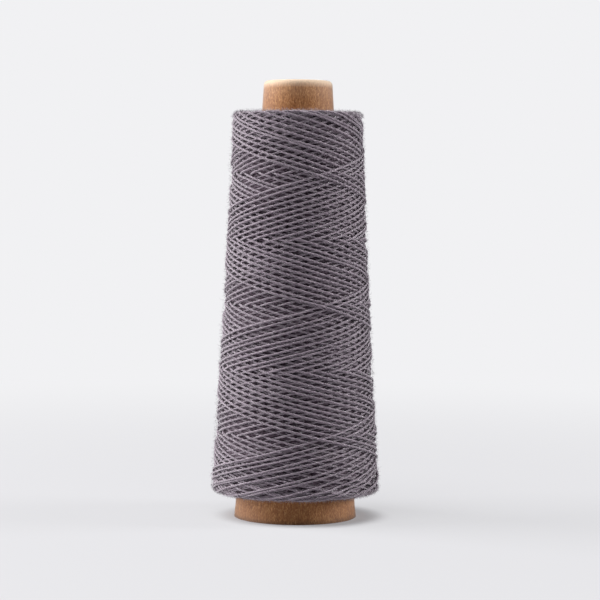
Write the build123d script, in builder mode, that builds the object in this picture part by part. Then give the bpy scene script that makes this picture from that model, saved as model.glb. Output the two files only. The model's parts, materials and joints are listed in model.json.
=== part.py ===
"""A cone of thick two-ply yarn: a kraft-paper winding cone and the yarn cross-wound on it.

The cone stands on its base rim at Z = 0, with its axis along +Z and its nose up.  All lengths are
in millimetres and all angles in degrees.  The yarn is one unbroken length.  Its first turns on the
paper and its last turns on the package are real strands, and the windings between them are closed
solids of their outer shape.
"""

from build123d import *
from math import atan, cos, degrees, hypot, pi, radians, tan
import os

# Paper cone
cone_length = 230.0
cone_half_angle = 3.5
base_radius = 32.0  # outside, at the base, before the flare
body_wall = 1.2  # the glued inner plies
cover_wall = 0.3  # the smooth outer ply
flare_width = 0.3  # how far the trimmed base edge spreads
flare_height = 5.0
seam_gap = 0.4  # at the base, between the two edges of the outer ply
seam_azimuth = 112.0

# Nose, where the paper is turned in over the end
nose_ring_width = 4.5  # from the throat to the outside of the cone
fold_depth = 8.0  # of the turned-in paper, below the top
fold_taper = 5.0  # height over which the turned-in edge thins out
nose_shoulder_round = 2.4
nose_lip_round = 1.6

# Yarn
yarn_diameter = 1.45
lay_clearance = 0.04  # between two strands, and between a strand and what it lies on
layer_thickness = 1.5  # of the outermost layer of windings

# Wound package
package_start = 13.5  # height of its lower end above the base rim
traverse = 200.0  # height that the yarn is wound over
package_base_radius = 44.2  # outside, at its lower end, under the last turns
package_top_radius = 33.4
edge_chamfer_base = 3.4  # rounding of the package's edges
edge_chamfer_top = 2.6
turnaround_width = 9.0  # band at each end where the yarn turns back
ridge_height = 0.4  # how far each turn stands out of the band
wind_pitch = 67.4  # height gained in one turn
last_turns_azimuth = 166.3  # of their upper end, from +X

# First turns, which catch the start of the yarn under the package
first_turn_count = 3
first_turn_height = 18.0  # of the lowest one, above the base rim
notch_play = 0.3  # around the first turns

half_cos = cos(radians(cone_half_angle))
cone_slope = tan(radians(cone_half_angle))
full_wall = body_wall + cover_wall
throat_radius = base_radius - cone_length * cone_slope - nose_ring_width
package_end = package_start + traverse
package_slope = (package_base_radius - package_top_radius) / traverse
package_half_angle = degrees(atan(package_slope))
package_cos = cos(radians(package_half_angle))
strand_pitch = yarn_diameter + lay_clearance  # from one strand's centre to the next one's


def cone_radius(height, inset=0.0):
    """Radius of the paper cone at a height, inset square to its surface."""
    return base_radius - height * cone_slope - inset / half_cos


def package_radius(height, inset=0.0):
    """Outside radius of the wound package at a height, inset square to its surface."""
    return package_base_radius - (height - package_start) * package_slope - inset / package_cos


def cone_skin(inset):
    """The five corners of the cone's skin, from the base rim to the end of the turned-in paper."""
    top = cone_length - inset
    throat = throat_radius + inset
    return [
        (cone_radius(0, inset) + flare_width, 0),
        (cone_radius(flare_height, inset), flare_height),
        (cone_radius(top, inset), top),
        (throat, top),
        (throat, cone_length - fold_depth),
    ]


def round_nose(sketch, inset):
    """Rounds the two corners of the nose that lie on the skin at this inset."""
    corners = cone_skin(inset)
    for corner, size in ((corners[2], nose_shoulder_round), (corners[3], nose_lip_round)):
        fillet(nearest_vertex(sketch, corner), size - inset)


def nearest_vertex(sketch, point):
    """The vertex of a section that lies nearest a point given as radius and height."""
    target = Vector(point[0], point[1])
    return sketch.vertices().sort_by_distance(target)[0]


def ridged_line(start, end, pitch):
    """Arcs from start to end, each one turn of yarn wide and standing out to the right."""
    along = Vector(end) - Vector(start)
    outward = Vector(along.Y, -along.X).normalized() * ridge_height
    count = max(1, round(along.length / pitch))
    stations = [Vector(start) + along * (step / count) for step in range(count + 1)]
    for near, far in zip(stations, stations[1:]):
        ThreePointArc(near, (near + far) / 2 + outward, far)


def helical_strand(radius, height, turn_height, angle, lefthand=False):
    """A strand of yarn on a cone that narrows upwards by an angle, from Z = 0 to a height."""
    with BuildPart() as strand:
        with BuildLine() as path:
            Helix(
                pitch=turn_height,
                height=height,
                radius=radius,
                cone_angle=-angle,
                lefthand=lefthand,
            )
        with BuildSketch(path.line ^ 0):
            Circle(yarn_diameter / 2)
        sweep(is_frenet=True)
    return strand.part


# The inner plies, one glued wall, turned in at the nose.
with BuildPart() as cone_body:
    with BuildSketch(Plane.XZ) as body_section:
        with BuildLine():
            taper_end = cone_length - fold_depth - fold_taper
            Polyline(
                *cone_skin(cover_wall),
                (cone_radius(taper_end, full_wall), taper_end),
                (cone_radius(0, full_wall), 0),
                close=True,
            )
        make_face()
        round_nose(body_section, cover_wall)
    revolve(axis=Axis.Z)
cone_body.part.label = "cone_body"

# The smooth outer ply, with its two edges meeting in a straight seam.
with BuildPart() as cone_cover_ply:
    with BuildSketch(Plane.XZ.rotated((0, 0, seam_azimuth))) as cover_section:
        with BuildLine():
            Polyline(*cone_skin(0), *reversed(cone_skin(cover_wall)), close=True)
        make_face()
        round_nose(cover_section, 0)
        round_nose(cover_section, cover_wall)
    revolve(axis=Axis.Z, revolution_arc=360 - degrees(seam_gap / base_radius))
cone_cover_ply.part.label = "cone_cover_ply"

# The start of the yarn: a few close turns on the paper, under the package.
first_turns_radius = cone_radius(first_turn_height, -(yarn_diameter / 2 + lay_clearance))
first_turns = Location((0, 0, first_turn_height)) * helical_strand(
    first_turns_radius, first_turn_count * strand_pitch, strand_pitch, cone_half_angle
)
first_turns.label = "first_turns"

# The buried windings, a closed ring that the outermost layer lies on, with their two end faces.
notch_low = first_turn_height - yarn_diameter / 2 - notch_play
notch_high = first_turn_height + first_turn_count * strand_pitch + yarn_diameter / 2 + notch_play
notch_inset = -(yarn_diameter + lay_clearance + notch_play)
lower_face_height = package_start + ridge_height
upper_face_height = package_end - ridge_height
lower_edge_height = package_start + edge_chamfer_base
upper_edge_height = package_end - edge_chamfer_top
foot = (cone_radius(lower_face_height), lower_face_height)
head = (cone_radius(upper_face_height), upper_face_height)
lower_face = (package_base_radius - edge_chamfer_base, lower_face_height)
upper_face = (package_top_radius - edge_chamfer_top, upper_face_height)

with BuildPart() as inner_windings:
    with BuildSketch(Plane.XZ):
        with BuildLine():
            ridged_line(foot, lower_face, strand_pitch)
            Polyline(
                lower_face,
                (package_radius(lower_edge_height, layer_thickness), lower_edge_height),
                (package_radius(upper_edge_height, layer_thickness), upper_edge_height),
                upper_face,
            )
            ridged_line(upper_face, head, strand_pitch)
            Polyline(
                head,
                (cone_radius(notch_high), notch_high),
                (cone_radius(notch_high, notch_inset), notch_high),
                (cone_radius(notch_low, notch_inset), notch_low),
                (cone_radius(notch_low), notch_low),
                foot,
            )
        make_face()
    revolve(axis=Axis.Z)
inner_windings.part.label = "inner_windings"

# The outermost layer, smooth between the two bands where the yarn turns back.
band_low = package_start + turnaround_width
band_high = package_end - turnaround_width
lower_edge = (package_radius(lower_edge_height, ridge_height), lower_edge_height)
upper_edge = (package_radius(upper_edge_height, ridge_height), upper_edge_height)
lower_band = (package_radius(band_low, ridge_height), band_low)
upper_band = (package_radius(band_high, ridge_height), band_high)

with BuildPart() as outer_windings:
    with BuildSketch(Plane.XZ):
        with BuildLine():
            ridged_line(lower_face, lower_edge, strand_pitch)
            ridged_line(lower_edge, lower_band, strand_pitch)
            Polyline(
                lower_band,
                (package_radius(band_low), band_low),
                (package_radius(band_high), band_high),
                upper_band,
            )
            ridged_line(upper_band, upper_edge, strand_pitch)
            ridged_line(upper_edge, upper_face, strand_pitch)
            Polyline(
                upper_face,
                (package_radius(upper_edge_height, layer_thickness), upper_edge_height),
                (package_radius(lower_edge_height, layer_thickness), lower_edge_height),
                lower_face,
            )
        make_face()
    revolve(axis=Axis.Z)
outer_windings.part.label = "outer_windings"

# The last pass of the yarn, from the top of the package down to its running end.
last_turns_low = band_low + yarn_diameter
last_turns_span = band_high - yarn_diameter - last_turns_low
last_turns_radius = package_radius(last_turns_low, -(yarn_diameter / 2 + lay_clearance))
last_turns_foot = last_turns_azimuth + 360 * last_turns_span / wind_pitch
last_turns = Location((0, 0, last_turns_low), (0, 0, last_turns_foot)) * helical_strand(
    last_turns_radius, last_turns_span, wind_pitch, package_half_angle, lefthand=True
)
last_turns.label = "last_turns"

pieces = [
    cone_body.part,
    cone_cover_ply.part,
    first_turns,
    inner_windings.part,
    outer_windings.part,
    last_turns,
]

os.makedirs("parts", exist_ok=True)
for piece in pieces:
    export_step(piece, f"parts/{piece.label}.step")

turn_length = hypot(2 * pi * package_radius(package_start + traverse / 2), wind_pitch)
wound_volume = inner_windings.part.volume + outer_windings.part.volume
print(f"package: half angle {package_half_angle:.2f} degrees, {wound_volume / 1000:.0f} cm3 wound")
print(f"one turn at mid height takes {turn_length:.0f} mm of yarn")
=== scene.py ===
"""A cone of thick two-ply grey yarn on a kraft-paper winding cone, dressed for a pale studio.

The outer yarn is one path over the whole package, worked out turn by turn as a winding machine lays
it, each turn resting on the turns that it crosses.  The buried turn-backs at the two ends, the hairs
and the paper cone are made to fit it.  Lengths are in metres and azimuths in radians, measured
anticlockwise from the side that faces the camera.
"""

import json
import math

import bmesh
import bpy
import numpy as np
from mathutils import Matrix, Vector

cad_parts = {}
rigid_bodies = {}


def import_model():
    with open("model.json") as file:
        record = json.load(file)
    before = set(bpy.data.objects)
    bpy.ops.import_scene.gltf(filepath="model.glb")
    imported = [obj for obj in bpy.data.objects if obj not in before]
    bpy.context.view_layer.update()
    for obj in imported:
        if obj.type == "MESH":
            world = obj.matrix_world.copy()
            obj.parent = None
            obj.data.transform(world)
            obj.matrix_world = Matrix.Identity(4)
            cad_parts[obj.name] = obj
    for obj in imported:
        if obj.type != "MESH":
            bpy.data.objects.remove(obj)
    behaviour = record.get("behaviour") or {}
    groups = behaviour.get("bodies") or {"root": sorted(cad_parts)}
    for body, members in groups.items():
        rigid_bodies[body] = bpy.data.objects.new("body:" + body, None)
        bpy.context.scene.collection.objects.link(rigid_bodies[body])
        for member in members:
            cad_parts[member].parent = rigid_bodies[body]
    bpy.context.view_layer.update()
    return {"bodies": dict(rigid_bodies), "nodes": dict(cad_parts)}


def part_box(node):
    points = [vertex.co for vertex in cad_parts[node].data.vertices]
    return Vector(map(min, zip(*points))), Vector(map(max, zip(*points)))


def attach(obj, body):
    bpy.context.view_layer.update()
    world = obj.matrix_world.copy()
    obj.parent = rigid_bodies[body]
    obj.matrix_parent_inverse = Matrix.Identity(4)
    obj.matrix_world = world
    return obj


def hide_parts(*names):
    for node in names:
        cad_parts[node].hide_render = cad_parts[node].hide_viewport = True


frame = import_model()

MM = 0.001
BODY = next(iter(frame["bodies"]))

# Paper cone, as in the frame's solids
CONE_HALF_ANGLE = math.radians(3.5)
BASE_RADIUS = 32.0 * MM
COVER_WALL = 0.3 * MM
FULL_WALL = 1.5 * MM
NOSE_RING_WIDTH = 4.5 * MM
FOLD_DEPTH = 8.0 * MM
FOLD_TAPER = 5.0 * MM
FLARE_WIDTH = 0.3 * MM
FLARE_HEIGHT = 5.0 * MM
SHOULDER_ROUND = 2.4 * MM
LIP_ROUND = 1.6 * MM
SEAM_AZIMUTH = math.radians(202)
SEAM_GAP = 0.4 * MM  # at the base
CONE_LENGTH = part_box("cone_cover_ply")[1][2]
THROAT_RADIUS = BASE_RADIUS - CONE_LENGTH * math.tan(CONE_HALF_ANGLE) - NOSE_RING_WIDTH

# Marks of the paper's making
PLEATS = 30  # where the nose is turned in
PLEAT_DEPTH = 0.35 * MM
TRIM_WAVER = 0.12 * MM  # of the trimmed edge at the base
TRIM_HEIGHT = 3.0 * MM  # above which the cone is true again
PLY_THICKNESS = 0.2 * MM
GLUE_SHARE = 0.22  # of a ply's thickness, seen as a dark ring on a cut edge

# Wound package
PACKAGE_LOW, PACKAGE_HIGH = (corner[2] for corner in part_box("inner_windings"))
TRAVERSE = PACKAGE_HIGH - PACKAGE_LOW
PACKAGE_BASE_RADIUS = 44.4 * MM
PACKAGE_TOP_RADIUS = 33.9 * MM
WAIST = 0.7 * MM  # how much the package draws in between its ends
EDGE_ROUND_LOW = 4.2 * MM
EDGE_ROUND_HIGH = 3.0 * MM

# Yarn and how it is wound
YARN = 1.45 * MM  # diameter over its loose hairs
TWISTED_YARN = 1.22 * MM  # diameter of the plies themselves
PLY_TWIST = 5.2 * MM  # length of one full turn of the two plies
GROOVE_DEPTH = 0.27  # share of the yarn's radius, between the plies
UNEVENNESS = 0.22  # share of its thickness by which the spun yarn swells and thins at most
SLUB_LENGTH = 9.0 * MM  # from one swelling to about the next
YARN_SIDES = 8
PRESSED_RADIUS = 0.44 * TWISTED_YARN  # of a turn where it lies on another
RISE = 67.4 * MM  # height gained in one turn
ROUND_TRIP = 5.957  # turns from the bottom to the top and back
ROUND_TRIPS = 38  # that are laid as real yarn
YARN_END = math.radians(190.8)  # azimuth of the running end
WANDERS = ((14, 0.26 * MM), (90, 0.34 * MM))  # over so many points the yarn strays so far
TUCK_LENGTH = 14.0 * MM  # of the running end, which dips under its neighbours
TUCK_DEPTH = 1.8 * MM
LAY_STEP = 0.8 * MM  # between two points of the yarn's path
PASSES_PER_PIECE = 13
SEED = 7

# Turn-back of the yarn at the two ends, which follows from the sizes above
HALF_TRIP = ROUND_TRIP / 2
SHARP_SPAN = HALF_TRIP * RISE  # height between the turn-backs if they were sharp
CENTRE_SPAN = TRAVERSE - YARN
BEND = 2 * (SHARP_SPAN - CENTRE_SPAN) / RISE  # turns that one turn-back takes
SHARP_LOW = PACKAGE_LOW + YARN / 2 - RISE * BEND / 4

# Buried turn-backs, which are seen on the two end faces
TURNBACK_REACH = 0.075  # turns, to either side of the turning point
TURNBACKS_PER_LAYER = 14
TURNBACK_LAYER = 1.1 * MM
TURNBACK_STAGGER = 0.38  # of the space between two, from one layer to the next
TURNBACK_SCATTER = 0.25  # of that space, to either side by chance
TURNBACK_SINK = 0.35 * MM  # how far they lie behind the end face
TURNBACK_SPREAD = 0.25 * MM  # how far they stray from their layer
TURNBACK_BOW = (6, 0.12 * MM)  # and within one arc, over so many points
TURNBACK_STEP = 1.3 * MM  # between two points of their paths
BURIED_BELOW = 1.7 * MM  # from the end of the package to the closed core
BURIED_SHARE = 0.8  # of the depth of the outer yarn, down to the closed core
BURIED_PITCH = RISE / 46  # between two strands that show as ridges on the core
NOTCH_PLAY = 0.3 * MM  # in the core, above and below the first turns
NOTCH_DEPTH = YARN + 0.35 * MM

# Hairs that stand out of the yarn
LONG_HAIRS = (90000, 2.3 * MM, 0.05 * MM)  # to the square metre, length, thickness
SHORT_HAIRS = (280000, 1.5 * MM, 0.07 * MM)
RIM_HAIRS = (3400000, 1.5 * MM, 0.06 * MM)
RIM = 2.5 * MM  # height of the fuzzy rim at either end
RIM_INWARD = 3.0 * MM  # how far the rim's hairs reach in over the end face
HAIR_ROOT = 0.2 * MM  # depth of the hairs' roots below the outside of the package
HAIR_END = 0.3 * MM  # from the package's end to the nearest root
HAIR_LEAN = 1.35  # radians from upright, at most, about either axis
HAIR_SCALE = (0.4, 1.2)  # smallest and largest
HAIR_SIDES = 3
SKIN_STEPS = 96  # around the skin that they are rooted in

# Flat map of a swept strand's skin
CAP_STRIP = 0.03  # share of it that is kept for the closed ends
ROW_FILL = 0.96  # share of a row's height that the skin takes
CAP_FILL = 0.4  # radius of a closed end, as a share of its tile

# Studio
ROOM_COLOUR = (0.880, 0.880, 0.896)  # 241, 241, 243 on a screen
ROOM_LIGHT = 0.03
FLOOR_COLOUR = (0.846, 0.846, 0.864)  # that the floor takes on near the cone
FOOT_GLOW = 0.20  # share of that colour in the floor under the package
FLOOR_GLOW = 0.65  # and beside it, which softens the shadow
FOOT_REACH = 48.5 * MM  # from where the floor is as pale as beside it
FOOT_SHIFT = 4 * MM  # of that painted paling, away from the window
FLOOR_TRUE = 0.1  # how far from the cone the floor begins to turn the room's colour
FLOOR_GONE = 0.8  # and from where it can't be told from the room
LAMPS = (
    ("window", (-1.84, 0.14, 0.72), 1.5, 1.7, 67.0),
    ("reflector", (1.85, 0.02, 0.62), 0.7, 0.6, 30.5),
    ("ceiling", (-0.3, -0.52, 1.82), 1.0, 1.0, 22.0),
)  # name, place, width, height and power in watts
FLOOR_REACH = 6.0
CAMERA_PLACE = (1.8 * MM, -1.056, 168.7 * MM)
CAMERA_TILT = math.radians(2.93)  # downwards
CAMERA_ROLL = math.radians(0.43)
CAMERA_LENS = 120  # in millimetres, on a sensor that is 36 mm wide


def smoothed(values, reach):
    """The values averaged along the path over about this many points each way."""
    taps = np.exp(-0.5 * (np.arange(-3 * reach, 3 * reach + 1) / reach) ** 2)
    return np.convolve(np.pad(values, 3 * reach, mode="edge"), taps / taps.sum(), "valid")


def straying(rng, count, reach, size):
    """A smooth random line of so many points, which strays by about this size."""
    line = smoothed(rng.normal(size=count), reach)
    return (line - line.mean()) / line.std() * size


def highest_near(values, reach):
    """The highest value within this many points each way."""
    padded = np.pad(values, reach, mode="edge")
    return np.lib.stride_tricks.sliding_window_view(padded, 2 * reach + 1).max(axis=1)


def swept_around(section, count):
    """Radii and heights of a section repeated around the cone: one row for each of its corners."""
    return (np.repeat(section[:, column : column + 1], count, axis=1) for column in (0, 1))


def cone_radius(height, inset=0.0):
    """Outside radius of the paper cone at a height, or the radius so far in from its surface."""
    return BASE_RADIUS - height * math.tan(CONE_HALF_ANGLE) - inset / math.cos(CONE_HALF_ANGLE)


def package_radius(height):
    """Outside radius of the finished package: a cone, a little waisted, with rounded edges."""
    share = (height - PACKAGE_LOW) / TRAVERSE
    radius = PACKAGE_BASE_RADIUS + share * (PACKAGE_TOP_RADIUS - PACKAGE_BASE_RADIUS)
    radius = radius + WAIST * ((2 * share - 1) ** 2 - 0.55)
    for near_end, size in (
        (height - PACKAGE_LOW, EDGE_ROUND_LOW),
        (PACKAGE_HIGH - height, EDGE_ROUND_HIGH),
    ):
        short = np.clip(size - near_end, 0, size)
        radius = radius - (size - np.sqrt(size**2 - short**2))
    return radius


def traverse_height(turned):
    """Height of the yarn's centre after so many turns: up and down, with rounded turn-backs."""
    along = np.mod(turned, ROUND_TRIP)
    to_low = np.minimum(along, ROUND_TRIP - along)
    to_high = np.abs(along - HALF_TRIP)
    height = SHARP_LOW + SHARP_SPAN - to_high * RISE
    height = height + RISE / BEND * np.clip(BEND / 2 - to_low, 0, None) ** 2
    return height - RISE / BEND * np.clip(BEND / 2 - to_high, 0, None) ** 2


def in_space(azimuth, height, radius):
    """Points from azimuth, height and radius; azimuth 0 faces the camera."""
    return np.column_stack((radius * np.sin(azimuth), -radius * np.cos(azimuth), height))


# ---------------------------------------------------------------- how the yarn lies


class LaidSurface:
    """How far the yarn laid so far stands out, on a grid of height by azimuth."""

    CELL = 0.25 * MM
    AROUND = 1024  # cells
    MARGIN = 8  # cells beyond either end
    BLOCK = 16  # cells across, for the even outside
    EVENED = 3  # times that the outside is smoothed
    BRIDGE = 3  # points each way over which the yarn doesn't sag
    EASING = 2  # points each way over which its path is rounded

    def __init__(self, contact_radius):
        rows = int(TRAVERSE / self.CELL) + 2 * self.MARGIN
        self.stand = np.zeros((rows, self.AROUND))
        self.contact_radius = contact_radius
        reach = math.ceil(contact_radius / self.CELL) + 1
        up, round_ = np.mgrid[-reach : reach + 1, -reach : reach + 1]
        self.up, self.round = up.ravel(), round_.ravel()

    def footprint(self, azimuth, height):
        """Cells under each point of the path, and how far the yarn's skin is above its centre."""
        column = np.round(azimuth / (2 * math.pi) * self.AROUND).astype(int)
        row = np.round((height - PACKAGE_LOW) / self.CELL).astype(int) + self.MARGIN
        row = np.clip(row, self.up.max(), len(self.stand) - 1 - self.up.max())
        wide = (package_radius(height) * 2 * math.pi / self.AROUND)[:, None] * self.round
        room = self.contact_radius**2 - (self.up * self.CELL) ** 2 - wide**2
        cells = (row[:, None] + self.up, (column[:, None] + self.round) % self.AROUND)
        return cells, np.sqrt(np.clip(room, 0, None)), room > 0

    def lay(self, azimuth, height):
        """Lays a stretch of yarn on what is there, and returns how far out its centre runs."""
        cells, skin, under = self.footprint(azimuth, height)
        held = np.where(under, self.stand[cells] + skin, 0).max(axis=1)
        centre = smoothed(highest_near(held, self.BRIDGE), self.EASING)
        skin_out = np.where(under, centre[:, None] + skin, 0)
        np.maximum.at(self.stand, cells, skin_out)
        return centre

    def outside(self):
        """The outside of all that is laid, as one smoothed value for each block of cells."""
        rows = len(self.stand) // self.BLOCK
        blocks = self.stand[: rows * self.BLOCK].reshape(rows, self.BLOCK, -1, self.BLOCK)
        level = blocks.max(axis=(1, 3))
        for _ in range(self.EVENED):
            level = (np.roll(level, 1, axis=1) + 2 * level + np.roll(level, -1, axis=1)) / 4
            padded = np.pad(level, ((1, 1), (0, 0)), mode="edge")
            level = (padded[:-2] + 2 * padded[1:-1] + padded[2:]) / 4
        return level

    def outside_at(self, level, azimuth, height):
        """The smoothed outside at any place."""
        rows, columns = level.shape
        row = ((height - PACKAGE_LOW) / self.CELL + self.MARGIN) / self.BLOCK - 0.5
        row = np.clip(row, 0, rows - 1.001)
        column = np.mod(azimuth / (2 * math.pi) * columns - 0.5, columns)
        low, left = row.astype(int), column.astype(int) % columns
        up, over = row - low, column - np.floor(column)
        right = (left + 1) % columns
        lower = level[low, left] * (1 - over) + level[low, right] * over
        upper = level[low + 1, left] * (1 - over) + level[low + 1, right] * over
        return lower * (1 - up) + upper * up


def wind_package():
    """The path of the outer yarn, one array of points for each pass, and how deep it lies."""
    rng = np.random.default_rng(SEED)
    surface = LaidSurface(PRESSED_RADIUS)
    passes = []
    mean_turn = 2 * math.pi * package_radius(PACKAGE_LOW + TRAVERSE / 2)
    points = int(HALF_TRIP * mean_turn / LAY_STEP) + 1
    for number in range(2 * ROUND_TRIPS):
        turned = np.linspace(number * HALF_TRIP, (number + 1) * HALF_TRIP, points)
        azimuth = YARN_END - 2 * math.pi * (ROUND_TRIPS * ROUND_TRIP - turned)
        wander = sum(straying(rng, points, reach, size) for reach, size in WANDERS)
        fade = np.clip(np.minimum(turned - turned[0], turned[-1] - turned) / BEND, 0, 1)
        height = traverse_height(turned) + wander * fade
        passes.append((azimuth, height, surface.lay(azimuth, height)))
    level = surface.outside()
    depth = level.mean()
    wound = []
    for azimuth, height, stand in passes:
        evened = stand * depth / surface.outside_at(level, azimuth, height)
        wound.append([azimuth, height, package_radius(height) - depth + evened])
    tuck = np.clip(1 - np.arange(points)[::-1] * LAY_STEP / TUCK_LENGTH, 0, 1)
    wound[-1][2] = wound[-1][2] - TUCK_DEPTH * tuck**2
    return wound, depth


def turnback_paths(rng, at_top):
    """The buried turn-backs of one end face, arc upon arc from the paper out to the edge."""
    end, face = (HALF_TRIP, PACKAGE_HIGH) if at_top else (0.0, PACKAGE_LOW)
    sink = -1 if at_top else 1
    inner = cone_radius(face) + 0.4 * YARN
    outer = package_radius(face + sink * YARN) - 0.8 * YARN
    paths = []
    for layer, radius in enumerate(np.arange(inner, outer, TURNBACK_LAYER)):
        for arc in range(TURNBACKS_PER_LAYER):
            scatter = rng.uniform(-TURNBACK_SCATTER, TURNBACK_SCATTER)
            turn = (arc + TURNBACK_STAGGER * layer + scatter) / TURNBACKS_PER_LAYER
            points = int(2 * TURNBACK_REACH * 2 * math.pi * radius / TURNBACK_STEP) + 2
            around = np.linspace(-TURNBACK_REACH, TURNBACK_REACH, points)
            height = traverse_height(end + around) + sink * abs(rng.normal()) * TURNBACK_SINK
            bow = straying(rng, points, *TURNBACK_BOW)
            out = radius + rng.normal() * TURNBACK_SPREAD + bow
            paths.append(in_space(2 * math.pi * (turn + around), height, out))
    return paths


# ---------------------------------------------------------------- node trees


class Tree:
    """A node tree, with short ways to add nodes and to join them."""

    def __init__(self, tree):
        self.tree = tree

    def add(self, kind, **settings):
        """A new node; each setting is a property, or an input given as its name in lower case."""
        node = self.tree.nodes.new(kind)
        for key, value in settings.items():
            sockets = {s.name.lower().replace(" ", "_"): s for s in node.inputs if s.enabled}
            if key in sockets and not isinstance(getattr(node, key, None), str):
                self.feed(sockets[key], value)
            else:
                setattr(node, key, value)
        return node

    def feed(self, socket, value):
        """Puts a value or another node's output on a socket."""
        if isinstance(value, bpy.types.NodeSocket):
            self.tree.links.new(value, socket)
        else:
            socket.default_value = value

    def marked(self, geometry, name, value, kind):
        """A geometry whose points keep a value under a name."""
        node = self.add("GeometryNodeStoreNamedAttribute", data_type=kind, domain="POINT")
        for socket, given in (("Geometry", geometry), ("Name", name), ("Value", value)):
            self.feed(node.inputs[socket], given)
        return node.outputs[0]

    def math(self, operation, *values):
        """One math node's result."""
        node = self.add("ShaderNodeMath", operation=operation)
        for socket, value in zip(node.inputs, values):
            self.feed(socket, value)
        return node.outputs[0]

    def vector(self, x=0.0, y=0.0, z=0.0):
        """A vector put together from three values."""
        return self.add("ShaderNodeCombineXYZ", x=x, y=y, z=z).outputs[0]

    def scaled(self, vector, factor):
        """A vector times a number."""
        node = self.add("ShaderNodeVectorMath", operation="SCALE")
        self.feed(node.inputs[0], vector)
        self.feed(node.inputs["Scale"], factor)
        return node.outputs[0]


class Finish(Tree):
    """A material with its surface shader."""

    def __init__(self, name):
        self.material = bpy.data.materials.new(name)
        self.material.use_nodes = True
        super().__init__(self.material.node_tree)
        self.shader = self.tree.nodes["Principled BSDF"]

    def noise(self, place, detail=3.0, roughness=0.6):
        """Noise, between 0 and 1, at places that are already stretched to its scale."""
        node = self.add(
            "ShaderNodeTexNoise", vector=place, scale=1.0, detail=detail, roughness=roughness
        )
        return node.outputs["Fac"]

    def object_place(self, across, up):
        """A place on the piece, with so many pattern cells to the metre across and up."""
        place = self.add("ShaderNodeTexCoord").outputs["Object"]
        return self.add("ShaderNodeMapping", vector=place, scale=(across, across, up)).outputs[0]

    def axes(self):
        """The X, Y and Z of a place on the piece, in metres."""
        place = self.add("ShaderNodeTexCoord").outputs["Object"]
        return self.add("ShaderNodeSeparateXYZ", vector=place).outputs

    def ramp(self, factor, stops):
        """A colour ramp over a factor, from (position, colour) stops."""
        node = self.add("ShaderNodeValToRGB")
        elements = node.color_ramp.elements
        while len(elements) < len(stops):
            elements.new(0.5)
        for element, (position, colour) in zip(elements, stops):
            element.position = position
            element.color = (*colour, 1)
        self.feed(node.inputs["Fac"], factor)
        return node.outputs["Color"]

    def mix(self, factor, first, second, blend="MIX"):
        """Two colours mixed by a factor."""
        node = self.add("ShaderNodeMix", data_type="RGBA", blend_type=blend)
        self.feed(node.inputs[0], factor)
        for socket, value in ((node.inputs[6], first), (node.inputs[7], second)):
            self.feed(socket, value if isinstance(value, bpy.types.NodeSocket) else (*value, 1))
        return node.outputs[2]

    def shaded(self, colour, factor, stops):
        """A colour multiplied by a ramp over a factor."""
        return self.mix(1.0, colour, self.ramp(factor, stops), "MULTIPLY")

    def between(self, value, nothing, all_):
        """How far a value has come from one bound to the other, eased, from 0 to 1."""
        share = self.add("ShaderNodeMapRange", value=value, interpolation_type="SMOOTHSTEP")
        self.feed(share.inputs["From Min"], nothing)
        self.feed(share.inputs["From Max"], all_)
        return share.outputs["Result"]

    def bump(self, height, distance, normal=None):
        """A bump of a height between 0 and 1 that stands out by a distance."""
        node = self.add("ShaderNodeBump", height=height, distance=distance)
        if normal is not None:
            self.feed(node.inputs["Normal"], normal)
        return node.outputs["Normal"]

    def set(self, **sockets):
        """Sets the surface shader's own inputs."""
        for key, value in sockets.items():
            name = key.replace("_", " ").title().replace("Ior", "IOR")
            self.feed(self.shader.inputs[name], value)
        return self.material


def grey(value):
    """A neutral colour of so much light."""
    return (value,) * 3


def srgb(red, green, blue):
    """A colour given as it looks on a screen, from 0 to 255, as scene-linear numbers."""
    return tuple(
        c / 255 / 12.92 if c / 255 <= 0.04045 else ((c / 255 + 0.055) / 1.055) ** 2.4
        for c in (red, green, blue)
    )


# ---------------------------------------------------------------- finishes


def yarn_finish():
    """Soft grey wool: pale and dark fibres along each ply, with painted shade in the groove between
    plies.
    """
    wool = Finish("heathered grey yarn")
    lay = wool.add("ShaderNodeAttribute", attribute_name="lay").outputs["Vector"]
    along = wool.add("ShaderNodeAttribute", attribute_name="along").outputs["Fac"]
    split = wool.add("ShaderNodeSeparateXYZ", vector=lay)
    fibre_place = wool.vector(
        x=wool.math("MULTIPLY", split.outputs["X"], 2.6),
        y=wool.math("MULTIPLY", split.outputs["Y"], 2.6),
        z=wool.math("MULTIPLY", along, 1 / (2.6 * MM)),
    )
    fibres = wool.noise(fibre_place, detail=3.0, roughness=0.65)
    slubs = wool.noise(wool.vector(z=wool.math("MULTIPLY", along, 1 / (13 * MM))), detail=2.0)
    heather = wool.ramp(
        fibres,
        [
            (0.28, srgb(98, 80, 94)),
            (0.46, srgb(149, 132, 146)),
            (0.60, srgb(190, 174, 186)),
            (0.76, srgb(240, 231, 237)),
        ],
    )
    one_ply_darker = [(0.0, (0.88, 0.87, 0.88)), (0.12, grey(1.0))]
    colour = wool.shaded(heather, split.outputs["X"], one_ply_darker)
    colour = wool.shaded(colour, slubs, [(0.32, (0.82, 0.80, 0.83)), (0.68, grey(1.0))])
    # Painted shade: the groove between the two plies is darkened.
    groove = wool.math("POWER", wool.math("ABSOLUTE", split.outputs["Y"]), 5)
    colour = wool.mix(wool.math("MULTIPLY", groove, 0.35), colour, srgb(62, 53, 62))
    return wool.set(
        base_color=colour,
        roughness=0.65,
        diffuse_roughness=0.3,
        specular_ior_level=0.45,
        sheen_weight=1.0,
        sheen_roughness=0.4,
        normal=wool.bump(fibres, 0.12 * MM),
    )


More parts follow.
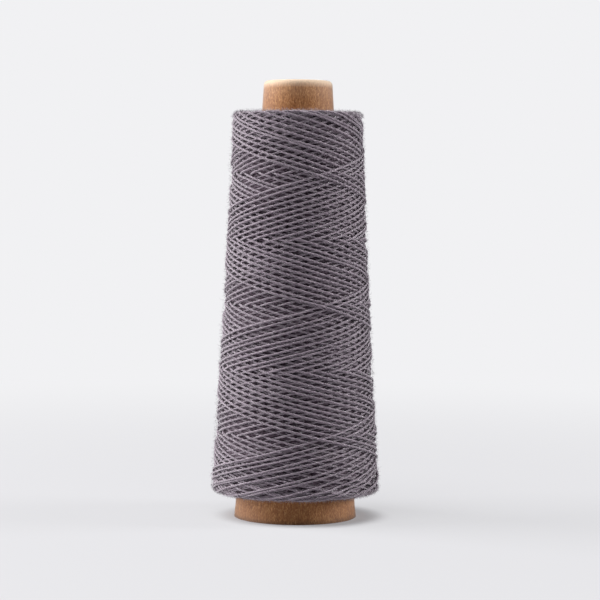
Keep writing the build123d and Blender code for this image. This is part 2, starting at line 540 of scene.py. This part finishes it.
def hair_finish():
    """Single wool hairs, dull, in the middle greys of the yarn that they come from."""
    wool = Finish("loose wool hairs")
    tint = wool.noise(wool.object_place(400, 400), detail=1.0)
    colour = wool.ramp(tint, [(0.35, srgb(128, 119, 128)), (0.65, srgb(184, 177, 184))])
    return wool.set(base_color=colour, roughness=0.9, specular_ior_level=0.1)


def buried_finish():
    """The buried turns, seen only through the gaps between the outer ones."""
    wool = Finish("buried yarn")
    clumps = wool.noise(wool.object_place(900, 1400))
    axes = wool.axes()
    around = wool.math("ARCTAN2", axes["Y"], axes["X"])
    climb = wool.math("MULTIPLY", around, RISE / (2 * math.pi))
    ridges = []
    for operation in ("ADD", "SUBTRACT"):
        along = wool.math(operation, axes["Z"], climb)
        ridges.append(wool.math("PINGPONG", along, BURIED_PITCH / 2))
    ridge = wool.math("DIVIDE", wool.math("MAXIMUM", *ridges), BURIED_PITCH / 2)
    # Painted shade: the buried yarn is coloured darker than the outer yarn, and darker still between
    # its ridges.
    colour = wool.ramp(clumps, [(0.3, srgb(80, 63, 75)), (0.7, srgb(124, 106, 120))])
    return wool.set(
        base_color=wool.shaded(colour, ridge, [(0.35, (0.35, 0.33, 0.35)), (0.85, grey(1.0))]),
        roughness=0.95,
        specular_ior_level=0.1,
        sheen_weight=0.25,
        sheen_roughness=0.5,
        normal=wool.bump(ridge, 0.5 * MM, normal=wool.bump(clumps, 0.2 * MM)),
    )


def kraft_finish(name, ply_edges):
    """Brown winding paper, fibres and specks; painted shade at the foot, painted highlight at the
    nose.
    """
    paper = Finish(name)
    strands = paper.noise(paper.object_place(1900, 700), detail=4.0, roughness=0.7)
    streaks = paper.noise(paper.object_place(1200, 110), detail=3.0)
    clouds = paper.noise(paper.object_place(210, 90))
    specks = paper.noise(paper.object_place(1300, 900), detail=1.0, roughness=0.5)
    colour = paper.ramp(
        strands,
        [(0.30, srgb(103, 67, 37)), (0.50, srgb(141, 98, 60)), (0.70, srgb(182, 145, 104))],
    )
    colour = paper.shaded(
        colour, streaks, [(0.32, (0.76, 0.70, 0.64)), (0.66, (1.10, 1.11, 1.12))]
    )
    colour = paper.shaded(colour, clouds, [(0.35, (0.86, 0.78, 0.70)), (0.65, (1.04, 1.03, 1.0))])
    dark = paper.ramp(specks, [(0.66, grey(0.0)), (0.74, grey(1.0))])
    colour = paper.mix(paper.math("MULTIPLY", dark, 0.45), colour, srgb(104, 66, 44))
    pale = paper.ramp(specks, [(0.24, grey(1.0)), (0.32, grey(0.0))])
    colour = paper.mix(paper.math("MULTIPLY", pale, 0.3), colour, srgb(206, 164, 126))
    height = paper.axes()["Z"]
    # Painted shade: darker towards the bottom of the base, where the contact shadow falls; the cone
    # above is lightened.
    colour = paper.shaded(
        colour,
        paper.math("DIVIDE", height, PACKAGE_LOW),
        [(0.0, (0.50, 0.44, 0.37)), (0.2, (1.12, 1.03, 0.91)), (0.6, (1.30, 1.20, 1.08))],
    )
    # Painted highlight: the nose's shoulder is made pale where the lamp above would glint on it.
    below_nose = paper.math("SUBTRACT", CONE_LENGTH, height)
    nose_painted_highlight = paper.ramp(
        paper.math("DIVIDE", below_nose, CONE_LENGTH - PACKAGE_HIGH),
        [(0.0, grey(0.93)), (0.12, grey(0.6)), (0.25, grey(0.1)), (0.7, grey(0.0))],
    )
    painted_highlight_share = paper.math("MULTIPLY", nose_painted_highlight, paper.between(strands, 0.0, 0.5))
    colour = paper.mix(painted_highlight_share, colour, srgb(238, 212, 184))
    if ply_edges:
        colour = paper.mix(ply_edge_share(paper), colour, srgb(96, 62, 42))
    paper_bump = paper.bump(strands, 0.05 * MM)
    return paper.set(
        base_color=colour,
        roughness=0.65,
        specular_ior_level=0.3,
        sheen_weight=0.5,
        sheen_roughness=0.4,
        sheen_tint=(0.74, 0.93, 1.0, 1.0),
        normal=paper.bump(streaks, 0.06 * MM, normal=paper_bump),
    )


def ply_edge_share(paper):
    """Thin rings where the glue between two plies shows on a cut edge, from 0 to 1."""
    axes = paper.axes()
    squares = [paper.math("POWER", axes[axis], 2) for axis in "XY"]
    radius = paper.math("SQRT", paper.math("ADD", *squares))
    taper = paper.math("MULTIPLY", axes["Z"], math.tan(CONE_HALF_ANGLE))
    depth = paper.math("SUBTRACT", BASE_RADIUS, paper.math("ADD", radius, taper))
    ply = paper.math("FRACT", paper.math("DIVIDE", depth, PLY_THICKNESS))
    return paper.math("MULTIPLY", paper.math("LESS_THAN", ply, GLUE_SHARE), 0.6)


# ---------------------------------------------------------------- yarn and hairs


def geometry_tree(name, geometry, sizes, whole_numbers=()):
    """An empty geometry-node tree with its named inputs, and their outputs inside it."""
    group = bpy.data.node_groups.new(name, "GeometryNodeTree")
    face = group.interface
    face.new_socket(geometry, in_out="INPUT", socket_type="NodeSocketGeometry")
    for label, value in sizes:
        face.new_socket(label, in_out="INPUT", socket_type="NodeSocketFloat").default_value = value
    for label, value in whole_numbers:
        face.new_socket(label, in_out="INPUT", socket_type="NodeSocketInt").default_value = value
    face.new_socket("Result", in_out="OUTPUT", socket_type="NodeSocketGeometry")
    tree = Tree(group)
    return tree, tree.add("NodeGroupInput").outputs


def end_tree(tree, geometry, material):
    """Ends a tree: instances made real, with their material."""
    real = tree.add("GeometryNodeRealizeInstances", geometry=geometry)
    dressed = tree.add("GeometryNodeSetMaterial", geometry=real.outputs[0], material=material)
    tree.feed(tree.add("NodeGroupOutput").inputs[0], dressed.outputs[0])
    return tree.tree


def yarn_tree(material):
    """Geometry nodes that turn paths into twisted two-ply yarn with closed ends."""
    tree, given = geometry_tree(
        "Two-ply yarn along a path",
        "Paths",
        (
            ("Yarn diameter", TWISTED_YARN),
            ("Ply twist", PLY_TWIST),
            ("Groove depth", GROOVE_DEPTH),
            ("Unevenness", UNEVENNESS),
            ("Slub length", SLUB_LENGTH),
        ),
        (("Sides", YARN_SIDES),),
    )
    curve = tree.add("GeometryNodeMeshToCurve", mesh=given["Paths"]).outputs[0]
    level = tree.add("GeometryNodeSetCurveNormal", mode="Z_UP", curve=curve).outputs[0]
    length = tree.add("GeometryNodeSplineParameter").outputs["Length"]
    turn = tree.math("MULTIPLY", tree.math("DIVIDE", length, given["Ply twist"]), 2 * math.pi)
    twisted = tree.add("GeometryNodeSetCurveTilt", curve=level, tilt=turn).outputs[0]
    slub = tree.add("ShaderNodeTexNoise", noise_dimensions="1D", scale=1.0, detail=2.0)
    tree.feed(slub.inputs["W"], tree.math("DIVIDE", length, given["Slub length"]))
    swell = tree.math("MULTIPLY_ADD", slub.outputs[0], 2.0, -1.0)
    girth = tree.math("MULTIPLY_ADD", swell, given["Unevenness"], 1.0)
    spun = tree.add("GeometryNodeSetCurveRadius", curve=twisted, radius=girth).outputs[0]
    path = tree.marked(spun, "along", length, "FLOAT")

    ring = tree.add("GeometryNodeCurvePrimitiveCircle", mode="RADIUS", resolution=given["Sides"])
    tree.feed(ring.inputs["Radius"], 1.0)
    place = tree.add("GeometryNodeInputPosition").outputs[0]
    lay = tree.marked(ring.outputs["Curve"], "lay", place, "FLOAT_VECTOR")
    side = tree.add("ShaderNodeSeparateXYZ", vector=place).outputs["Y"]
    groove = tree.math("POWER", tree.math("ABSOLUTE", side), 3)
    drawn_in = tree.math("SUBTRACT", 1.0, tree.math("MULTIPLY", groove, given["Groove depth"]))
    reach = tree.math("MULTIPLY", drawn_in, tree.math("MULTIPLY", given["Yarn diameter"], 0.5))
    outline = tree.add(
        "GeometryNodeSetPosition", geometry=lay, position=tree.scaled(place, reach)
    )
    swept = tree.add("GeometryNodeCurveToMesh", curve=path, fill_caps=True)
    tree.feed(swept.inputs["Profile Curve"], outline.outputs[0])
    return end_tree(tree, swept.outputs[0], material)


def hair_tree(material):
    """Geometry nodes that scatter short bent hairs over a skin."""
    tree, given = geometry_tree(
        "Loose hairs on a skin",
        "Skin",
        (("Hairs per square metre", 0.0), ("Hair length", 0.0), ("Hair thickness", 0.0)),
        (("Seed", SEED),),
    )
    spread = tree.add("GeometryNodeDistributePointsOnFaces", mesh=given["Skin"])
    tree.feed(spread.inputs["Density"], given["Hairs per square metre"])
    tree.feed(spread.inputs["Seed"], given["Seed"])
    length = given["Hair length"]
    bend = tree.add("GeometryNodeCurveQuadraticBezier", resolution=3)
    tree.feed(bend.inputs["Start"], (0.0, 0.0, 0.0))
    tree.feed(bend.inputs["Middle"], tree.vector(z=tree.math("MULTIPLY", length, 0.7)))
    tree.feed(
        bend.inputs["End"],
        tree.vector(x=tree.math("MULTIPLY", length, 0.6), z=tree.math("MULTIPLY", length, 0.75)),
    )
    kinked = tree.add("GeometryNodeResampleCurve", mode="COUNT", curve=bend.outputs[0], count=3)
    section = tree.add("GeometryNodeCurvePrimitiveCircle", mode="RADIUS", resolution=HAIR_SIDES)
    thickness = tree.math("MULTIPLY", given["Hair thickness"], 0.5)
    tree.feed(section.inputs["Radius"], thickness)
    hair = tree.add("GeometryNodeCurveToMesh", curve=kinked.outputs[0], fill_caps=True)
    tree.feed(hair.inputs["Profile Curve"], section.outputs["Curve"])

    lean = tree.add("FunctionNodeRandomValue", data_type="FLOAT_VECTOR")
    tree.feed(lean.inputs["Min"], (-HAIR_LEAN, -HAIR_LEAN, 0.0))
    tree.feed(lean.inputs["Max"], (HAIR_LEAN, HAIR_LEAN, 2 * math.pi))
    tree.feed(lean.inputs["Seed"], given["Seed"])
    turned = tree.add("FunctionNodeRotateRotation", rotation_space="LOCAL")
    tree.feed(turned.inputs["Rotation"], spread.outputs["Rotation"])
    tree.feed(turned.inputs["Rotate By"], lean.outputs["Value"])
    size = tree.add("FunctionNodeRandomValue", data_type="FLOAT")
    for socket in size.inputs:
        if socket.enabled and socket.name in ("Min", "Max"):
            tree.feed(socket, HAIR_SCALE[socket.name == "Max"])
    placed = tree.add("GeometryNodeInstanceOnPoints", points=spread.outputs["Points"])
    tree.feed(placed.inputs["Instance"], hair.outputs[0])
    tree.feed(placed.inputs["Rotation"], turned.outputs[0])
    tree.feed(placed.inputs["Scale"], next(s for s in size.outputs if s.enabled))
    return end_tree(tree, placed.outputs[0], material)


def grown(name, source, tree, **sizes):
    """A plain mesh piece from what a geometry-node tree makes of a source mesh."""
    holder = bpy.data.objects.new(name + " source", source)
    bpy.context.scene.collection.objects.link(holder)
    growth = holder.modifiers.new("Growth", "NODES")
    growth.node_group = tree
    for item in tree.interface.items_tree:
        if item.name in sizes:
            growth[item.identifier] = sizes[item.name]
    shaped = holder.evaluated_get(bpy.context.evaluated_depsgraph_get())
    made = bpy.data.meshes.new_from_object(shaped)
    bpy.data.objects.remove(holder)
    made.name = name
    made.shade_smooth()
    piece = bpy.data.objects.new(name, made)
    bpy.context.scene.collection.objects.link(piece)
    return piece


def unroll(piece, sides):
    """Lays the skin of a piece's swept strands out flat in rows, as a map for its finish."""
    mesh = piece.data
    corners = np.empty(len(mesh.loops), dtype=int)
    mesh.loops.foreach_get("vertex_index", corners)
    starts = np.empty(len(mesh.polygons), dtype=int)
    sizes = np.empty(len(mesh.polygons), dtype=int)
    mesh.polygons.foreach_get("loop_start", starts)
    mesh.polygons.foreach_get("loop_total", sizes)
    face = np.repeat(np.arange(len(starts)), sizes)
    ring, side = corners // sides, corners % sides
    first_ring = np.minimum.reduceat(ring, starts)
    wraps = np.maximum.reduceat(side, starts) - np.minimum.reduceat(side, starts) > 1
    wraps &= sizes == 4
    first_side = np.where(wraps, sides - 1, np.minimum.reduceat(side, starts))

    rings = len(mesh.vertices) // sides
    girth = math.pi * TWISTED_YARN
    columns = math.ceil(math.sqrt(rings * girth / LAY_STEP))
    rows = math.ceil(rings / columns)
    along = first_ring[face] % columns + (ring - first_ring[face])
    around = np.where(side == first_side[face], 0, 1) + first_side[face]
    row = first_ring[face] // columns
    across = along / columns
    up = (row + ROW_FILL * around / sides) / rows * (1 - CAP_STRIP)

    capped = sizes[face] != 4
    cap_number = np.cumsum(sizes != 4)[face] - 1
    per_row = math.ceil(math.sqrt((sizes != 4).sum() / CAP_STRIP) + 1 / CAP_STRIP)
    tile = 1 / per_row
    turn = 2 * math.pi * side / sides
    cap_across = (cap_number % per_row + 0.5 + CAP_FILL * np.cos(turn)) * tile
    cap_up = 1 - (cap_number // per_row + 0.5 + CAP_FILL * np.sin(turn)) * tile
    flat = np.column_stack((np.where(capped, cap_across, across), np.where(capped, cap_up, up)))
    layer = mesh.uv_layers.new(name="OFBake")
    layer.uv.foreach_set("vector", flat.astype(np.float32).ravel())


# ---------------------------------------------------------------- pieces


def piece_from(name, points, faces, material):
    """A smooth-shaded piece with its faces turned outwards."""
    mesh = bpy.data.meshes.new(name)
    mesh.from_pydata(np.asarray(points).tolist(), [], faces)
    shell = bmesh.new()
    shell.from_mesh(mesh)
    bmesh.ops.recalc_face_normals(shell, faces=shell.faces)
    shell.to_mesh(mesh)
    shell.free()
    mesh.materials.append(material)
    mesh.shade_smooth()
    mesh.set_sharp_from_angle(angle=math.radians(50))
    piece = bpy.data.objects.new(name, mesh)
    bpy.context.scene.collection.objects.link(piece)
    return piece


def turned(name, azimuths, radii, heights, material, joined=True):
    """A turned piece whose closed section may change around it: one row of points per corner."""
    corners, steps = radii.shape
    points = in_space(np.tile(azimuths, corners), heights.ravel(), radii.ravel())
    faces = []
    for corner in range(corners):
        following = (corner + 1) % corners
        for step in range(steps if joined else steps - 1):
            beside = (step + 1) % steps
            faces.append(
                (
                    corner * steps + step,
                    corner * steps + beside,
                    following * steps + beside,
                    following * steps + step,
                )
            )
    if not joined:
        for step in (0, steps - 1):
            for corner in range(corners // 2 - 1):
                near, far = corner * steps + step, (corners - 1 - corner) * steps + step
                faces.append((near, near + steps, far - steps, far))
    return piece_from(name, points, faces, material)


def cone_skin(inset):
    """The skin of the paper cone so far in, from the base rim over the nose to the fold's edge."""
    flank = np.linspace(0, CONE_LENGTH - SHOULDER_ROUND, 40)
    flare = FLARE_WIDTH * np.clip(1 - flank / FLARE_HEIGHT, 0, 1)
    skin = [(cone_radius(h, inset) + f, h) for h, f in zip(flank[:-1], flare)]
    shoulder = (
        cone_radius(CONE_LENGTH - SHOULDER_ROUND, SHOULDER_ROUND),
        CONE_LENGTH - SHOULDER_ROUND,
    )
    lip = (THROAT_RADIUS + LIP_ROUND, CONE_LENGTH - LIP_ROUND)
    for (across, up), size, start, end in (
        (shoulder, SHOULDER_ROUND - inset, CONE_HALF_ANGLE, math.pi / 2),
        (lip, LIP_ROUND - inset, math.pi / 2, math.pi),
    ):
        for angle in np.linspace(start, end, 9):
            skin.append((across + size * math.cos(angle), up + size * math.sin(angle)))
    for down in np.linspace(LIP_ROUND, FOLD_DEPTH, 6)[1:]:
        skin.append((THROAT_RADIUS + inset, CONE_LENGTH - down))
    return np.array(skin)


def made_by_hand(azimuths, section):
    """A section around the cone, with the pleats of its turned-in nose and its trimmed edge."""
    radii, heights = swept_around(section, len(azimuths))
    rng = np.random.default_rng(SEED)
    uneven = np.zeros_like(azimuths)
    trim = np.zeros_like(azimuths)
    for wave in range(1, 8):
        uneven += rng.normal() / wave * np.sin(wave * azimuths + rng.uniform(0, 2 * math.pi))
        trim += rng.normal() / wave**0.5 * np.sin(3 * wave * azimuths + rng.uniform(0, 6))
    pleat = (0.5 + 0.5 * np.cos(PLEATS * azimuths + 1.6 * uneven)) ** 3
    inward = np.clip((cone_radius(CONE_LENGTH) - 1.0 * MM - radii) / NOSE_RING_WIDTH, 0, 1)
    at_nose = np.clip((heights - CONE_LENGTH + FOLD_DEPTH + 2 * MM) / (4 * MM), 0, 1)
    share = inward * at_nose * pleat[None, :]
    turned_in = radii < THROAT_RADIUS + FULL_WALL + 0.1 * MM
    radii = radii - PLEAT_DEPTH * share * turned_in
    heights = heights - 0.5 * PLEAT_DEPTH * share * ~turned_in
    edge = TRIM_WAVER * (0.5 + 0.25 * trim / np.abs(trim).max())[None, :]
    heights = heights + edge * np.clip(1 - heights / TRIM_HEIGHT, 0, 1)
    return radii, heights


def make_cone_cover(material):
    """The smooth outer ply of paper, with a straight seam where its edges meet at the back."""
    gap = SEAM_GAP / BASE_RADIUS
    azimuths = np.linspace(SEAM_AZIMUTH, SEAM_AZIMUTH + 2 * math.pi - gap, 241)
    section = np.concatenate((cone_skin(0), cone_skin(COVER_WALL)[::-1]))
    radii, heights = made_by_hand(azimuths, section)
    return turned("cone_cover", azimuths, radii, heights, material, joined=False)


def make_cone_wall(material):
    """The glued inner plies, whose turned-in edge thins out inside the nose."""
    azimuths = np.linspace(0, 2 * math.pi, 240, endpoint=False)
    taper_end = CONE_LENGTH - FOLD_DEPTH - FOLD_TAPER
    inner = [(cone_radius(h, FULL_WALL), h) for h in np.linspace(taper_end, 0, 30)]
    section = np.concatenate((cone_skin(COVER_WALL), inner))
    radii, heights = made_by_hand(azimuths, section)
    return turned("cone_wall", azimuths, radii, heights, material)


def make_windings(tree, wound):
    """The outer yarn, in pieces that follow one another along its one path."""
    pieces = []
    for number, first in enumerate(range(0, len(wound), PASSES_PER_PIECE)):
        passes = [in_space(*one) for one in wound[first:][:PASSES_PER_PIECE]]
        joined = [one[:-1] for one in passes] + [passes[-1][-1:]]
        pieces.append(strands(f"winding_{number + 1:02}", [np.concatenate(joined)], tree))
    return pieces


def strands(name, paths, tree):
    """Yarn grown along paths, given as lists of points."""
    starts = np.cumsum([0] + [len(path) for path in paths])
    edges = [
        np.column_stack((np.arange(a, b - 1), np.arange(a + 1, b)))
        for a, b in zip(starts, starts[1:])
    ]
    mesh = bpy.data.meshes.new(name + " paths")
    mesh.from_pydata(np.concatenate(paths).tolist(), np.concatenate(edges).tolist(), [])
    piece = grown(name, mesh, tree)
    unroll(piece, YARN_SIDES)
    return piece


def make_core(depth, material):
    """The buried turns as one closed ring, under the outer yarn and over the first turns."""
    low, high = PACKAGE_LOW + BURIED_BELOW, PACKAGE_HIGH - BURIED_BELOW
    outside = [
        (float(package_radius(h)) - BURIED_SHARE * depth, h) for h in np.linspace(low, high, 60)
    ]
    notch_low, notch_high = (corner[2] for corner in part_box("first_turns"))
    notch = notch_low - NOTCH_PLAY, notch_high + NOTCH_PLAY
    inside = [(cone_radius(high), high), (cone_radius(notch[1]), notch[1])]
    inside += [(cone_radius(h) + NOTCH_DEPTH, h) for h in reversed(notch)]
    inside += [(cone_radius(notch[0]), notch[0]), (cone_radius(low), low)]
    azimuths = np.linspace(0, 2 * math.pi, 200, endpoint=False)
    radii, heights = swept_around(np.array(outside + inside), len(azimuths))
    return turned("buried_turns", azimuths, radii, heights, material)


def hair_skin(low, high, rows):
    """A section of the skin that hairs are rooted in, just under the outside of the package."""
    return [(package_radius(h) - HAIR_ROOT, h) for h in np.linspace(low, high, rows)]


def make_hairs(name, tree, seed, profile, density, length, thickness):
    """Loose hairs on a skin, given by the section that is turned to make it."""
    azimuths = np.linspace(0, 2 * math.pi, SKIN_STEPS, endpoint=False)
    points = np.concatenate([in_space(azimuths, np.full(SKIN_STEPS, h), r) for r, h in profile])
    faces = []
    for row in range(len(profile) - 1):
        low, high = row * SKIN_STEPS, (row + 1) * SKIN_STEPS
        for step in range(SKIN_STEPS):
            beside = (step + 1) % SKIN_STEPS
            faces.append((low + step, low + beside, high + beside, high + step))
    skin = bpy.data.meshes.new("package skin")
    skin.from_pydata(points.tolist(), [], faces)
    sizes = {"Hairs per square metre": density, "Hair length": length, "Hair thickness": thickness}
    piece = grown(name, skin, tree, Seed=seed, **sizes)
    unroll(piece, HAIR_SIDES)
    return piece


# ---------------------------------------------------------------- studio


def make_floor():
    """A pale floor that takes the shadow near the cone, with pale light painted over it where it is
    seen, and runs out into the pale room.
    """
    floor_look = Finish("pale floor")
    looked_at = seen_directly(floor_look)
    colour = floor_look.mix(looked_at, srgb(186, 185, 189), srgb(194, 193, 197))
    floor_look.set(base_color=colour, roughness=0.9, specular_ior_level=0.1)
    place = floor_look.add("ShaderNodeTexCoord").outputs["Object"]
    away = floor_look.add("ShaderNodeVectorMath", operation="DISTANCE")
    floor_look.feed(away.inputs[0], place)
    floor_look.feed(away.inputs[1], (FOOT_SHIFT, 0, 0))
    fade = floor_look.between(away.outputs["Value"], FLOOR_TRUE, FLOOR_GONE)
    beside = floor_look.between(away.outputs["Value"], BASE_RADIUS, FOOT_REACH)
    near_glow = floor_look.math("MULTIPLY_ADD", beside, FLOOR_GLOW - FOOT_GLOW, FOOT_GLOW)
    far_glow = floor_look.math("MULTIPLY", fade, 1 - FLOOR_GLOW)
    glow = floor_look.math("ADD", near_glow, far_glow)
    # Painted light: where the floor is looked at, a pale glow lies over its own shading, least under
    # the package.
    far_colour = floor_look.mix(fade, FLOOR_COLOUR, ROOM_COLOUR)
    room = floor_look.add("ShaderNodeEmission", color=far_colour)
    blend = floor_look.add("ShaderNodeMixShader")
    seen = floor_look.math("MULTIPLY", looked_at, glow)
    floor_look.feed(blend.inputs[0], seen)
    floor_look.feed(blend.inputs[1], floor_look.shader.outputs[0])
    floor_look.feed(blend.inputs[2], room.outputs[0])
    floor_look.feed(floor_look.tree.nodes["Material Output"].inputs["Surface"], blend.outputs[0])
    corners = [(x * FLOOR_REACH, y * FLOOR_REACH, 0) for x, y in ((-1, -1), (1, -1), (1, 1), (-1, 1))]
    mesh = bpy.data.meshes.new("floor")
    mesh.from_pydata(corners, [], [(0, 1, 2, 3)])
    mesh.materials.append(floor_look.material)
    floor = bpy.data.objects.new("floor", mesh)
    bpy.context.scene.collection.objects.link(floor)


def seen_directly(tree):
    """1 where the camera, a mirror or glass looks, and 0 where light is only gathered."""
    path = tree.add("ShaderNodeLightPath")
    seen = tree.math("ADD", path.outputs["Is Camera Ray"], path.outputs["Is Glossy Ray"])
    return tree.math("MINIMUM", 1.0, tree.math("ADD", seen, path.outputs["Is Transmission Ray"]))


def make_room():
    """The pale room: one colour to look at, and a softer light to stand in."""
    world = bpy.data.worlds.new("pale room")
    world.use_nodes = True
    room = Tree(world.node_tree)
    light = world.node_tree.nodes["Background"]
    room.feed(light.inputs["Color"], (0.95, 0.96, 1.0, 1))
    room.feed(light.inputs["Strength"], ROOM_LIGHT)
    looked_at = room.add("ShaderNodeBackground", color=(*ROOM_COLOUR, 1))
    blend = room.add("ShaderNodeMixShader")
    room.feed(blend.inputs[0], seen_directly(room))
    room.feed(blend.inputs[1], light.outputs[0])
    room.feed(blend.inputs[2], looked_at.outputs[0])
    room.feed(world.node_tree.nodes["World Output"].inputs["Surface"], blend.outputs[0])
    bpy.context.scene.world = world


def make_lamps():
    """Lamps: a broad strong one at the left, a small one at the right, one above and in front."""
    for name, place, width, height, watts in LAMPS:
        light = bpy.data.lights.new(name, "AREA")
        light.shape = "RECTANGLE"
        light.size, light.size_y = width, height
        light.energy = watts
        lamp = bpy.data.objects.new(name, light)
        toward = Vector((0, 0, CONE_LENGTH / 2)) - Vector(place)
        lamp.matrix_world = Matrix.LocRotScale(Vector(place), toward.to_track_quat("-Z", "Y"), None)
        bpy.context.scene.collection.objects.link(lamp)


def make_camera():
    """The camera, a little above the middle of the cone and rolled a touch."""
    camera = bpy.data.cameras.new("camera")
    camera.sensor_width = 36
    camera.lens = CAMERA_LENS
    viewer = bpy.data.objects.new("camera", camera)
    tilt = Matrix.Rotation(math.radians(90) - CAMERA_TILT, 4, "X")
    roll = Matrix.Rotation(CAMERA_ROLL, 4, "Z")
    viewer.matrix_world = Matrix.Translation(CAMERA_PLACE) @ tilt @ roll
    bpy.context.scene.collection.objects.link(viewer)
    bpy.context.scene.camera = viewer


def main():
    bpy.context.scene.view_settings.view_transform = "Standard"
    make_camera()
    make_floor()
    make_room()
    make_lamps()
    yarn = yarn_tree(yarn_finish())
    buried = buried_finish()
    for slot in frame["nodes"]["first_turns"].material_slots:
        slot.material = buried

    wound, depth = wind_package()
    windings = make_windings(yarn, wound)
    rng = np.random.default_rng(SEED + 1)
    turnbacks = [
        strands("upper_turnbacks", turnback_paths(rng, at_top=True), yarn),
        strands("lower_turnbacks", turnback_paths(rng, at_top=False), yarn),
    ]
    core = make_core(depth, buried)
    hair = hair_tree(hair_finish())
    low, high = PACKAGE_LOW + HAIR_END, PACKAGE_HIGH - HAIR_END
    side = hair_skin(low, high, 50)
    lower_rim = [(side[0][0] - RIM_INWARD, low), *hair_skin(low, low + RIM, 6)]
    upper_rim = [*hair_skin(high - RIM, high, 6), (side[-1][0] - RIM_INWARD, high)]
    hairs = [
        make_hairs("long_hairs", hair, SEED, side, *LONG_HAIRS),
        make_hairs("short_hairs", hair, SEED + 2, side, *SHORT_HAIRS),
        make_hairs("upper_rim_hairs", hair, SEED + 3, upper_rim, *RIM_HAIRS),
        make_hairs("lower_rim_hairs", hair, SEED + 4, lower_rim, *RIM_HAIRS),
    ]
    cover = make_cone_cover(kraft_finish("kraft cover paper", ply_edges=False))
    wall = make_cone_wall(kraft_finish("glued kraft plies", ply_edges=True))

    stands_for = [(core, "inner_windings"), (cover, "cone_cover_ply"), (wall, "cone_body")]
    stands_for += [(piece, "inner_windings") for piece in turnbacks]
    stands_for += [(piece, "outer_windings") for piece in windings]
    stands_for += [(windings[-1], "last_turns")]
    for piece in [core, cover, wall, *hairs, *turnbacks, *windings]:
        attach(piece, BODY)
    for piece, node in stands_for:
        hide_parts(node)


main()
